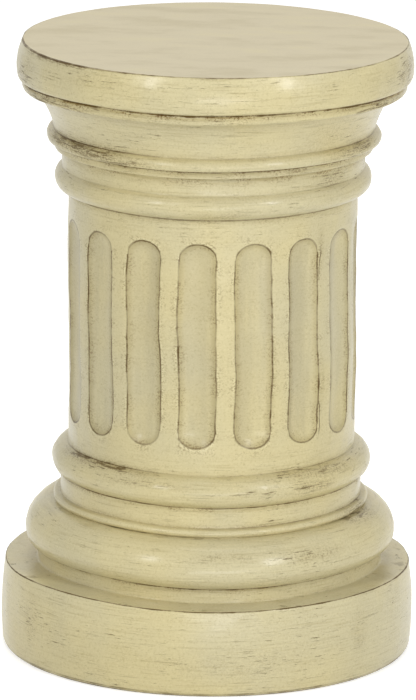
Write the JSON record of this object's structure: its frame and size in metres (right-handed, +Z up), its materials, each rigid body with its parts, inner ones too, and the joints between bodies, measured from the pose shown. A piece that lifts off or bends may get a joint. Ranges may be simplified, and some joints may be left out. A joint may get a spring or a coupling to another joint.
{
  "type": "fluted doric column pedestal",
  "caption": "Short round column pedestal with a drum plinth, base mouldings, a fluted shaft, neck mouldings and a broad flat top, cast in one piece.",
  "frame": {"origin": "centre of the underside, on the column's axis at floor level", "axes": "+Z up along the column's axis; -Y is the front, and a flute is centred on -Y"},
  "size_m": [0.3057, 0.3056, 0.457],
  "materials": {
    "painted_casting": "satin cream paint rubbed with a thin dark brown wash"
  },
  "bodies": {
    "root": {"column": "painted_casting"}
  },
  "joints": []
}
